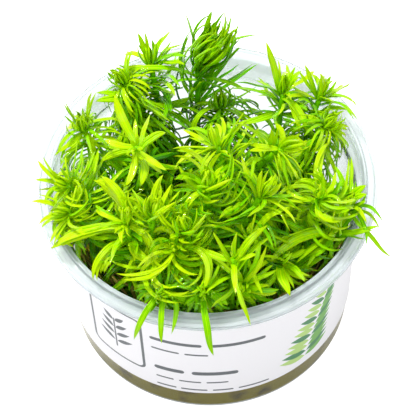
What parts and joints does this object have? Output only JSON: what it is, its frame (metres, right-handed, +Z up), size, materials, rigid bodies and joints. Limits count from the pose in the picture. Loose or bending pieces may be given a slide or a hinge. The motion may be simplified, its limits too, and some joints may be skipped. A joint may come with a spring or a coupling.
{
  "type": "potted aquarium plant cup",
  "caption": "Short clear flanged cup of nutrient gel, filled and overhung by bright narrow-leaved whorled aquarium shoots, with a printed band round its front.",
  "frame": {"origin": "on the cup's axis, at the underside of its base", "axes": "+Z up along the cup's axis, -Y towards the middle of the label, +X to the right as the label is read"},
  "size_m": [0.093, 0.096, 0.082],
  "materials": {
    "cup": "clear moulded plastic, glossy, faintly blue-green at its edges",
    "label": "white printed film, satin",
    "gel": "olive jelly, wet and slightly cloudy",
    "leaf": "fresh thin leaves, satin with a wet sheen"
  },
  "bodies": {
    "root": {"cup": "cup", "gel": "gel", "label": "label", "shoot_arch": "leaf", "shoot_back": "leaf", "shoot_back_left": "leaf", "shoot_back_right": "leaf", "shoot_broad": "leaf", "shoot_edge_back_right": "leaf", "shoot_edge_left": "leaf", "shoot_edge_low_left": "leaf", "shoot_edge_right": "leaf", "shoot_fan": "leaf", "shoot_front": "leaf", "shoot_front_left": "leaf", "shoot_front_low": "leaf", "shoot_front_right": "leaf", "shoot_front_star": "leaf", "shoot_hand": "leaf", "shoot_head_right": "leaf", "shoot_low_01": "leaf", "shoot_low_02": "leaf", "shoot_low_03": "leaf", "shoot_low_04": "leaf", "shoot_low_05": "leaf", "shoot_low_06": "leaf", "shoot_low_07": "leaf", "shoot_low_08": "leaf", "shoot_low_09": "leaf", "shoot_low_10": "leaf", "shoot_low_11": "leaf", "shoot_low_12": "leaf", "shoot_middle": "leaf", "shoot_middle_low": "leaf", "shoot_middle_right": "leaf", "shoot_pair": "leaf", "shoot_plume": "leaf", "shoot_ring": "leaf", "shoot_rosette": "leaf", "shoot_star": "leaf", "shoot_swirl": "leaf", "shoot_tuft_left": "leaf"}
  },
  "joints": []
}
